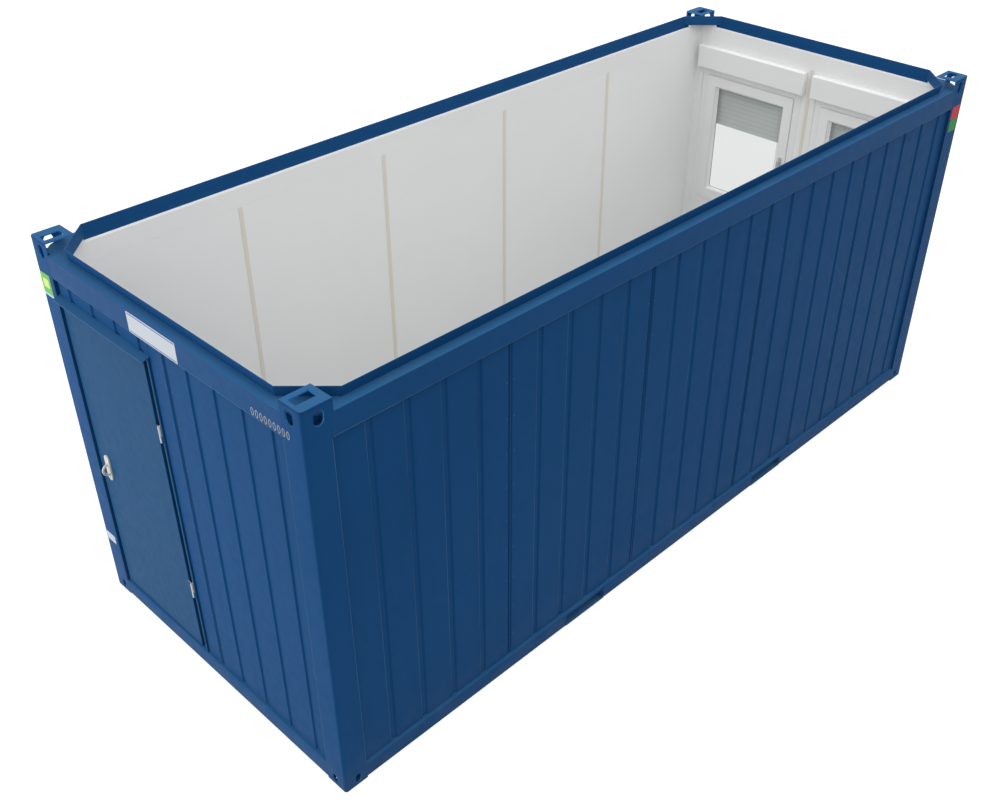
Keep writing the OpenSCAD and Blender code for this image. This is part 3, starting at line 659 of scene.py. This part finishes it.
def panel_joints(node, side):
    """Places along a wall where two of its panels meet, found as narrow gaps at their backs."""
    to_wall = wall_matrix(side).inverted()
    depths = [(to_wall @ vert.co) for vert in frame["nodes"][node].data.vertices]
    back = max(place.y for place in depths)
    ends = sorted({round(place.x, 4) for place in depths if back - place.y < 0.001})
    return [(left + right) / 2 for left, right in zip(ends, ends[1:]) if right - left < 0.004]


RIVET_ROWS, RIVET_PITCH, RIVET_HEAD = 9, 0.232, 0.0045
RIVET_INSET = 0.027  # from the joint to the rivets on each side of it
LOWEST_RIVET = 0.16  # up from the panel's foot
panel_face = 0.022  # the flat of the panels, in from the frame's outer faces
bm = bmesh.new()
for side, node in enumerate(WALL_PANELS):
    for joint in panel_joints(node, side):
        for row in range(RIVET_ROWS):
            for beside in (-RIVET_INSET, RIVET_INSET):
                verts = bmesh.ops.create_uvsphere(bm, u_segments=8, v_segments=6, radius=RIVET_HEAD)["verts"]
                bmesh.ops.scale(bm, vec=(1, 0.4, 1), verts=verts)
                place = Vector((joint + beside, panel_face, post_foot + LOWEST_RIVET + row * RIVET_PITCH))
                bmesh.ops.translate(bm, vec=place, verts=verts)
                bmesh.ops.transform(bm, matrix=wall_matrix(side), verts=verts)
rivet_paint = painted("lighter blue rivet heads", (0.040, 0.115, 0.230), 0.45, 0.15, orange_peel=0.0)
finish_piece("panel_rivets", bm, "cabin", rivet_paint)

# A thin bead of sealant runs along the joints, the posts and the rails, in a paler blue that is a painted
# highlight
sealant_painted_highlight = painted("sealant in painted highlight blue", (0.022, 0.085, 0.205), 0.6, 0.05, cloudiness=0.35,
                        streaks=0.25, orange_peel=0.2, dust=0.2)
routes = []
for side, node in enumerate(WALL_PANELS):
    to_cabin, span = wall_matrix(side), wall_span(side)
    depth = panel_face - 0.0006
    starts = [post_width + 0.0012, span - post_width - 0.0012]
    if side == 0:  # the door's frame stands in place of the left post
        starts[0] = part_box("door_frame")[1][0] + half_width + 0.0012
    for u in panel_joints(node, side) + starts[side == 0:]:
        routes.append([to_cabin @ Vector((u, depth, z)) for z in (post_foot + 0.004, panel_head - 0.002)])
    routes.append([to_cabin @ Vector((u, depth, panel_head - 0.0012)) for u in starts])
weld_beads("panel_sealant_highlights", routes, 0.0016, sealant_painted_highlight)


def groove_edges(node, side):
    """Places along a wall where its flat faces give way to a pressed groove."""
    to_wall = wall_matrix(side).inverted()
    on_face = sorted({round((to_wall @ vert.co).x, 4) for vert in frame["nodes"][node].data.vertices
                      if abs((to_wall @ vert.co).y - panel_face) < 0.0005})
    return [left for left, right in zip(on_face, on_face[1:]) if 0.040 < right - left < 0.052]


# On the long walls a paler line runs along one edge of each groove, a painted highlight of the pressed bend
groove_highlight_paint = painted("painted groove highlight", (0.060, 0.140, 0.265), 0.45, 0.10, cloudiness=0.35,
                         streaks=0.30, orange_peel=0.0, dust=0.1)
routes = [[wall_matrix(side) @ Vector((u - 0.0006, panel_face + 0.0003, z))
           for z in (post_foot + 0.006, panel_head - 0.003)]
          for side, node in enumerate(WALL_PANELS) if side % 2 for u in groove_edges(node, side)]
weld_beads("groove_edge_highlights", routes, 0.0010, groove_highlight_paint)

# A paler line along the folded edges of the posts and the rails over the panels, a painted highlight
edge_highlight_paint = painted("painted highlight on folded edges", (0.095, 0.185, 0.31), 0.5, 0.08, cloudiness=0.30,
                    streaks=0.20, orange_peel=0.1, dust=0.1)
EDGE_IN = 0.0013  # the line's middle, in from each of the two faces that meet
routes = []
for side in range(4):
    to_cabin, span = wall_matrix(side), wall_span(side)
    for u in (post_width - EDGE_IN, span - post_width + EDGE_IN):
        routes.append([to_cabin @ Vector((u, EDGE_IN, z)) for z in (post_foot + 0.01, panel_head - 0.004)])
    routes.append([to_cabin @ Vector((u, EDGE_IN, panel_head + EDGE_IN))
                   for u in (post_width + 0.004, span - post_width - 0.004)])
weld_beads("frame_edge_highlights", routes, 0.0012, edge_highlight_paint)

# ------------------------ linings
# White laminate-faced boards on the inside of each wall, white bands above them, folded white trims in the
# corners, and warm white plastic strips pressed over the boards' joints.

board, given, result = start_group("laminate board", {
    "Color": ("Color", (0.85, 0.85, 0.85, 1)), "Roughness": ("Float", 0.5), "Cloudiness": ("Float", 0.01),
    "Texture": ("Float", 0.3), "Scuffs": ("Float", 0.1)},
    {"Color": "Color", "Roughness": "Float", "Normal": "Vector"})
clouds = spread(board, noise(board, 1.2, 3.0), 0.3, 0.7, -1.0, 1.0)
value = sum_of(board, "ADD", sum_of(board, "MULTIPLY", clouds, given["Cloudiness"]), 1.0)
near_floor = spread(board, own_height(board), 0.17, 0.75, 1.0, 0.0)
marks = spread(board, noise(board, 26.0, 5.0, (1, 1, 3.0)), 0.60, 0.66, 0.0, 1.0)
marks = sum_of(board, "MULTIPLY", sum_of(board, "MULTIPLY", marks, near_floor), given["Scuffs"])
board.links.new(blended(board, marks, toned(board, given["Color"], value), (0.30, 0.30, 0.29, 1)),
                result["Color"])
patchy = spread(board, noise(board, 9.0), 0.3, 0.7, -0.04, 0.04)
board.links.new(sum_of(board, "ADD", given["Roughness"], patchy), result["Roughness"])
grained = sum_of(board, "MULTIPLY", noise(board, 340.0, 3.0), given["Texture"])
board.links.new(bumped(board, grained, 0.0003), result["Normal"])


def boarded(name, color, roughness, specular, **board_settings):
    """A smooth faced board or moulding, whose settings are the inputs of the laminate board."""
    return faced_with(board, name, color, roughness, specular, board_settings)


WHITE = (0.885, 0.885, 0.882)
laminate = boarded("white laminate", WHITE, 0.50, 0.25, texture=0.4, scuffs=0.35)
for node in ("front_lining", "right_lining", "back_lining", "left_lining"):
    eased(node, "cabin", laminate, 0.0008)
eased("upper_wall_bands", "cabin", laminate, 0.0015)
eased("inner_corner_trims", "cabin", laminate, 0.0012)
warm_plastic = boarded("warm white plastic strip", (0.78, 0.75, 0.66), 0.42, 0.3, texture=0.15)
eased("seam_strips", "cabin", warm_plastic, 0.0012)

# ------------------------ windows
# White moulded windows in the far wall: a frame screwed into the opening, a sash that tilts and turns with
# a sloping bead and a rubber gasket round its sealed glass, and a grip. A roller shutter runs outside.

window_white = boarded("white moulded window", (0.885, 0.887, 0.885), 0.32, 0.3, texture=0.05,
                       cloudiness=0.005)
eased("window_frames", "cabin", window_white, 0.0025)
eased("window_sashes", "cabin", window_white, 0.005, segments=3)

glazing, tree, shader = surface("clear sealed glazing", 0.02, 0.0, 0.5)
shader.inputs["IOR"].default_value = 1.45
shader.inputs["Transmission Weight"].default_value = 1.0
clean = spread(tree, noise(tree, 1.5, 3.0), 0.3, 0.7, 0.985, 1.015)
fed(tree, shader, toned(tree, (0.67, 0.69, 0.685, 1), clean))
light_path = add_node(tree, "LightPath")
for_lamps = add_node(tree, "Math", {0: light_path.outputs["Is Shadow Ray"],
                                    1: light_path.outputs["Is Diffuse Ray"]}, operation="MAXIMUM")
open_to_lamps = add_node(tree, "BsdfTransparent", {"Color": (0.98, 0.985, 0.985, 1)})
choose = add_node(tree, "MixShader", {0: for_lamps.outputs[0], 1: shader.outputs[0],
                                      2: open_to_lamps.outputs[0]})
tree.links.new(choose.outputs[0], tree.nodes["Material Output"].inputs["Surface"])
glass_piece = frame["nodes"]["window_glass"]
glass_piece.data.materials.clear()
glass_piece.data.materials.append(glazing)

glass_low, glass_high = box_of("window_glass")
sash_low, sash_high = box_of("window_sashes")
frame_low, frame_high = box_of("window_frames")
sash_member = glass_low.z - sash_low.z  # width of a sash's members
sash_inset = sash_low.z - frame_low.z
window_width = 0.974
lining_face = half_length - 0.0985  # the room's side of the far wall
window_middles = [frame_low.x + window_width / 2, frame_high.x - window_width / 2]
pane = Vector((window_width - 2 * (sash_inset + sash_member), 0, glass_high.z - glass_low.z))
pane_middle = (glass_high.z + glass_low.z) / 2


def sloped_ring(bm, middle, size, facing, steps):
    """A ring of strips round an opening, from its outline inwards. Each step is a width and a rise towards
    the viewer, who looks along facing, +1 for +Y."""
    turn = Matrix.Rotation(math.radians(90), 4, "X")
    if facing < 0:
        turn = Matrix.Rotation(math.radians(180), 4, "Z") @ turn
    before = set(bm.verts)
    bmesh.ops.create_grid(bm, x_segments=1, y_segments=1, size=0.5)
    verts = added_since(bm, before)
    bmesh.ops.scale(bm, vec=(size.x, size.z, 1), verts=verts)
    face = verts[0].link_faces[0]
    for width, rise in steps:
        bmesh.ops.inset_region(bm, faces=[face], thickness=width, depth=rise, use_even_offset=True,
                               use_boundary=True)
    bmesh.ops.delete(bm, geom=[face], context="FACES_ONLY")
    added = added_since(bm, before)
    bmesh.ops.transform(bm, matrix=Matrix.Translation(middle) @ turn, verts=added)


bead_room, bead_street = bmesh.new(), bmesh.new()
seal = bmesh.new()
BEAD = 0.014  # width of the inner glazing bead's slope
for x in window_middles:
    sloped_ring(bead_room, Vector((x, sash_low.y, pane_middle)), pane, 1,
                [(0.0005, 0.0), (0.004, -0.003), (BEAD, sash_low.y - glass_low.y + 0.004), (0.0005, -0.001)])
    sloped_ring(seal, Vector((x, glass_low.y - 0.0006, pane_middle)), pane - Vector((0.034, 0, 0.034)), 1,
                [(0.0005, 0.001), (0.003, 0.0004), (0.0008, -0.001)])
    sloped_ring(bead_street, Vector((x, sash_high.y, pane_middle)), pane, -1,
                [(0.0005, 0.0), (0.012, -(sash_high.y - glass_high.y) + 0.001), (0.0005, -0.001)])
finish_piece("glazing_beads_inside", bead_room, "cabin", window_white)
finish_piece("glazing_beads_outside", bead_street, "cabin", window_white)
rubber, tree, shader = surface("grey rubber", 0.65)
fed(tree, shader, toned(tree, (0.20, 0.21, 0.21, 1), spread(tree, noise(tree, 90.0), 0.3, 0.7, 0.85, 1.15)))
finish_piece("glazing_gaskets", seal, "cabin", rubber)

# A pale seal runs round each sash, and a line of white sealant round each frame
sash_reach, frame_reach = window_width / 2 - sash_inset, window_width / 2
soft_seal = boarded("pale soft seal", (0.86, 0.865, 0.86), 0.6, 0.2, texture=0.1)
for name, reach, low_z, high_z, y, radius in (
        ("sash_seals", sash_reach, sash_low.z, sash_high.z, frame_low.y - 0.0020, 0.0036),
        ("frame_sealant", frame_reach, frame_low.z, frame_high.z, lining_face, 0.0030)):
    loops = [[(x + sx * reach, y, z) for sx, z in ((-1, low_z), (1, low_z), (1, high_z), (-1, high_z))]
             for x in window_middles]
    weld_beads(name, loops, radius, soft_seal, closed=True)

# Shutters: hollow plastic slats that hook into one another, with a stiffer rail on the lowest one, and a
# box over each window whose front cover clips on between two moulded end caps.
slat_low, slat_high = box_of("roller_shutters")
SLAT = 0.038  # height of one slat
slat_grey, tree, shader = surface("light grey slats, painted shade and light", 0.45, 0.0, 0.3)
# Each slat's colour is darkened towards its joints, painted shade of its rounded face. The grey is set paler
# than the slats really are, painted light that makes up for the light lost behind the glass.
slats_up = sum_of(tree, "DIVIDE", sum_of(tree, "SUBTRACT", own_height(tree), slat_low.z), SLAT)
within = sum_of(tree, "FRACT", slats_up, 0.0)
slat_painted_shade = spread(tree, within, 0.0, 0.30, 0.86, 1.0)
slat_painted_shade = sum_of(tree, "MULTIPLY", slat_painted_shade, spread(tree, within, 0.75, 1.0, 1.0, 0.93))
fed(tree, shader, toned(tree, (0.90, 0.93, 0.92, 1), slat_painted_shade),
    spread(tree, noise(tree, 40.0), 0.3, 0.7, 0.40, 0.52))


def slat_edge(middle, run):
    return 0.0032 if abs(run.x) > 0.9 else 0.0


eased("roller_shutters", "cabin", slat_grey, 0.0032, slat_edge)
bm = bmesh.new()
for x in window_middles:
    reach = window_width / 2 - 0.042
    add_slab(bm, (x - reach, slat_low.y - 0.003, slat_low.z),
             (x + reach, slat_high.y + 0.003, slat_low.z + 0.010), 0.002)
finish_piece("shutter_end_rails", bm, "cabin", slat_grey)

eased("shutter_boxes", "cabin", window_white, 0.009, segments=4)
box_low, box_high = box_of("shutter_boxes")
box_reach = window_width / 2 + 0.031
CAP_THICK, CAP_PROUD = 0.012, 0.0015
bm = bmesh.new()
for x in window_middles:
    for sx in (-1, 1):
        edge = x + sx * (box_reach + CAP_PROUD)
        low = (min(edge, edge - sx * CAP_THICK), box_low.y - CAP_PROUD, box_low.z - CAP_PROUD)
        high = (max(edge, edge - sx * CAP_THICK), lining_face, box_high.z + CAP_PROUD)
        add_slab(bm, low, high, 0.006, 2)
finish_piece("shutter_box_end_caps", bm, "cabin", window_white)


def in_metal(name, color, roughness, grain_stretch):
    """Satin metal with a fine directional grain."""
    material, tree, shader = surface(name, roughness, 0.85)
    lines = noise(tree, 160.0, 3.0, grain_stretch)
    fed(tree, shader, toned(tree, (*color, 1), spread(tree, lines, 0.3, 0.7, 0.92, 1.08)),
        spread(tree, lines, 0.3, 0.7, roughness - 0.05, roughness + 0.08), bumped(tree, lines, 0.0001, 0.4))
    return material


grip_metal = in_metal("satin grip metal", (0.62, 0.61, 0.58), 0.38, (1, 1, 0.08))
eased("window_handles", "cabin", grip_metal, 0.0015)

# ------------------------ door frame, leaf and canopy
# A folded steel frame with a channel down the hinge side, and a smooth insulated leaf that opens outwards
# against a rubber seal. A bent strip over the door throws off the rain.

door_paint = painted("smooth door blue", (0.0080, 0.067, 0.172), 0.48, 0.045, cloudiness=0.02, streaks=0.015,
                     orange_peel=0.05, dust=0.10)
eased("door_frame", "cabin", door_paint, 0.0018)
eased("door_leaf", "door", door_paint, 0.002)
# The canopy takes the ledges' paler blue, painted top light.
eased("door_canopy", "cabin", ledge_paint_lit_top, 0.0008)

leaf_low, leaf_high = box_of("door_leaf")
door_frame_low = box_of("door_frame")[0]
SEAL_THICK, SEAL_WIDTH = 0.003, 0.010
SEAL_INSET = 0.014  # in from the leaf's edges
stop_face = leaf_high.y + 0.0055  # the face of the frame that the leaf shuts towards
rubber_and_slot_shade, tree, shader = surface("dark rubber seal and painted slot shade", 0.7)
fed(tree, shader, toned(tree, (0.016, 0.030, 0.050, 1), spread(tree, noise(tree, 80.0), 0.3, 0.7, 0.8, 1.3)))
bm = bmesh.new()
leaf_middle = (leaf_low + leaf_high) / 2
sloped_ring(bm, Vector((leaf_middle.x, stop_face - 0.0002, leaf_middle.z)),
            leaf_high - leaf_low - Vector((2, 2, 2)) * SEAL_INSET, 1,
            [(0.0005, SEAL_THICK), (SEAL_WIDTH, 0.0), (0.0005, -SEAL_THICK)])
finish_piece("door_seal", bm, "cabin", rubber_and_slot_shade)

tread, tree, shader = surface("ribbed aluminium tread", 0.4, 0.9)
ribs = add_node(tree, "TexWave", {"Vector": own_place(tree), "Scale": 40.0}, bands_direction="Y")
lines = ribs.outputs["Fac"]
fed(tree, shader, blended(tree, lines, (0.55, 0.55, 0.54, 1), (0.68, 0.68, 0.67, 1)),
    relief=bumped(tree, lines, 0.0008, 0.8))
bm = bmesh.new()
floor_top = box_of("floor_deck")[1].z
add_slab(bm, (door_frame_low.x + 0.050, stop_face + 0.001, floor_top),
         (leaf_high.x - 0.042, -half_length + 0.118, floor_top + 0.002), 0.0008)
finish_piece("door_threshold", bm, "cabin", tread)

# ------------------------ hinges and handles
# Lift-off hinges in pale plastic-coated steel, and on each face of the leaf a rounded plate with a bow
# grip, a lock cylinder and two fixing screws.

coated = boarded("pale coated steel", (0.60, 0.585, 0.55), 0.38, 0.4, texture=0.1)
hinge_axis = Vector(frame["record"]["behaviour"]["joints"][0]["pos_m"])
BARREL_REACH = 0.0097  # from the axis to just past the barrels' round faces
for node, body in (("frame_hinges", "cabin"), ("leaf_hinges", "door")):
    hinge = eased(node, body, coated, 0.0012)
    hinge.data.materials.append(door_paint)
    for face in hinge.data.polygons:  # the arms are painted over with the door
        if math.hypot(face.center.x - hinge_axis.x, face.center.y - hinge_axis.y) > BARREL_REACH:
            face.material_index = 1
eased("door_handles", "door", coated, 0.0025, segments=3)

handle_low, handle_high = box_of("door_handles")
handle_middle = (handle_low + handle_high) / 2
handle_x = handle_middle.x
PLATE_REACH = 0.009  # from the leaf's face to the handle plate's
LOCK_DROP = 0.070  # from the plate's middle down to the lock
SCREWS_UP = (0.078, -0.083)  # from the plate's middle up to each screw
lock_metal = in_metal("polished lock cylinder", (0.66, 0.64, 0.58), 0.25, (1, 0.1, 1))
cylinders, slots = bmesh.new(), bmesh.new()
ONTO_WALL = Matrix.Rotation(math.radians(90), 3, "X")  # from lying flat to facing out of the door's wall


def add_disc(bm, middle, radius, depth, segments=20, rounding=0.0):
    """A round head that stands out along Y from its middle by the depth, which may be negative."""
    verts = bmesh.ops.create_cone(bm, cap_ends=True, segments=segments, radius1=radius, radius2=radius,
                                  depth=abs(depth))["verts"]
    if rounding:
        rims = list(dict.fromkeys(edge for vert in verts for edge in vert.link_edges
                                  if edge.calc_face_angle(0) > 1.0))
        made = bmesh.ops.bevel(bm, geom=rims, offset=rounding, segments=2, profile=0.5, affect="EDGES",
                               material=-1)
        kept = [vert for vert in verts if vert.is_valid]
        verts = list(dict.fromkeys(kept + [vert for face in made["faces"] for vert in face.verts]))
    bmesh.ops.rotate(bm, cent=(0, 0, 0), matrix=ONTO_WALL, verts=verts)
    bmesh.ops.translate(bm, vec=Vector(middle) + Vector((0, depth / 2, 0)), verts=verts)


def add_slot(bm, middle, half_wide, half_high):
    """A thin dark mark on a head, painted shade that stands for the hollow of its keyway or its screw slot.
    """
    half = Vector((half_wide, 0.0002, half_high))
    add_slab(bm, Vector(middle) - half, Vector(middle) + half)


for face_y, out in ((leaf_low.y - PLATE_REACH, -1), (leaf_high.y + PLATE_REACH, 1)):
    lock_z = handle_middle.z - LOCK_DROP
    add_disc(cylinders, (handle_x, face_y, lock_z), 0.0085, out * 0.003, 24, 0.0008)
    add_slot(slots, (handle_x, face_y + out * 0.0031, lock_z), 0.0008, 0.005)
    for up in SCREWS_UP:
        add_disc(cylinders, (handle_x, face_y, handle_middle.z + up), 0.0040, out * 0.0012, 14, 0.0005)
        add_slot(slots, (handle_x, face_y + out * 0.0013, handle_middle.z + up), 0.0028, 0.0004)
finish_piece("lock_cylinders_and_screws", cylinders, "door", lock_metal)
# The marks take the seal's dark rubber as painted shade.
finish_piece("key_and_screw_slot_shade", slots, "door", rubber_and_slot_shade)

# ------------------------ plates and stickers
# A bare white plate over the door, a row of white noughts beside it, and plain coloured stickers on
# two posts. All are thin, with rounded corners, and carry no words.


def sticker_material(name, color):
    return boarded(name, color, 0.35, 0.06, texture=0.03, cloudiness=0.02)


def sticker(name, side, low, high, depth, material, thick=0.0006, corner=0.004):
    """A thin plate on a wall, from its low to its high corner as a place along the wall and a height."""
    bm = bmesh.new()
    bmesh.ops.create_grid(bm, x_segments=1, y_segments=1, size=0.5)
    bmesh.ops.scale(bm, vec=(high[0] - low[0], high[1] - low[1], 1), verts=bm.verts)
    bmesh.ops.bevel(bm, geom=list(bm.verts), offset=corner, segments=3, profile=0.5, affect="VERTICES",
                    material=-1)
    lifted = bmesh.ops.extrude_face_region(bm, geom=list(bm.faces))["geom"]
    bmesh.ops.translate(bm, vec=(0, 0, thick),
                        verts=[item for item in lifted if isinstance(item, bmesh.types.BMVert)])
    bmesh.ops.rotate(bm, cent=(0, 0, 0), matrix=ONTO_WALL, verts=bm.verts)
    bmesh.ops.translate(bm, vec=((low[0] + high[0]) / 2, depth, (low[1] + high[1]) / 2), verts=bm.verts)
    return finish_piece(name, bm, "cabin", material, wall_matrix(side))


bare_white = sticker_material("bare white plate", (0.55, 0.59, 0.64))
leaf_green = sticker_material("green sticker", (0.15, 0.46, 0.09))
pale_yellow = sticker_material("pale yellow patch", (0.62, 0.76, 0.25))
pale_blue = sticker_material("pale blue patch", (0.42, 0.58, 0.70))
signal_red = sticker_material("red sticker", (0.62, 0.020, 0.025))
signal_green = sticker_material("bright green sticker", (0.010, 0.27, 0.03))
sticker("bare_plate", 0, (0.974, 2.385), (1.424, 2.507), 0.0, bare_white, 0.002, 0.006)
plate_blue = sticker_material("plain blue line", (0.02, 0.10, 0.36))
for name, low in (("lower", 2.391), ("upper", 2.495)):
    sticker("plate_line_" + name, 0, (0.982, low), (1.416, low + 0.005), -0.002, plate_blue, 0.0003, 0.001)
NOUGHTS, NOUGHT_PITCH, NOUGHT_STROKE = 9, 0.034, 0.0042
bm = bmesh.new()
for index in range(NOUGHTS):
    before = set(bm.verts)
    bmesh.ops.create_circle(bm, segments=20, radius=0.5)
    added = added_since(bm, before)
    bmesh.ops.contextual_create(bm, geom=added)
    bmesh.ops.scale(bm, vec=(0.023, 0.046, 1), verts=added)
    middle = added[0].link_faces[0]
    bmesh.ops.inset_region(bm, faces=[middle], thickness=NOUGHT_STROKE, use_boundary=True)
    bmesh.ops.delete(bm, geom=[middle], context="FACES_ONLY")
    added = added_since(bm, before)
    bmesh.ops.rotate(bm, cent=(0, 0, 0), matrix=ONTO_WALL, verts=added)
    bmesh.ops.translate(bm, vec=(2.048 + index * NOUGHT_PITCH, -0.0003, 2.413), verts=added)
number_white = sticker_material("off-white numbers", (0.40, 0.41, 0.39))
finish_piece("painted_noughts", bm, "cabin", number_white, wall_matrix(0))
for place in (("green_sticker_left", 0, (0.014, 2.251), (0.120, 2.377), 0.0, leaf_green),
              ("yellow_patch_left", 0, (0.036, 2.286), (0.098, 2.342), -0.0006, pale_yellow),
              ("blue_strip_left", 0, (0.014, 2.231), (0.120, 2.249), 0.0, pale_blue),
              ("white_band_left", 0, (0.022, 0.411), (0.124, 0.475), 0.0, bare_white),
              ("blue_patch_left", 0, (0.044, 0.424), (0.102, 0.462), -0.0006, pale_blue),
              ("red_sticker_right", 1, (5.920, 2.287), (6.024, 2.383), 0.0, signal_red),
              ("green_sticker_right", 1, (5.920, 2.191), (6.024, 2.285), 0.0, signal_green)):
    sticker(*place)
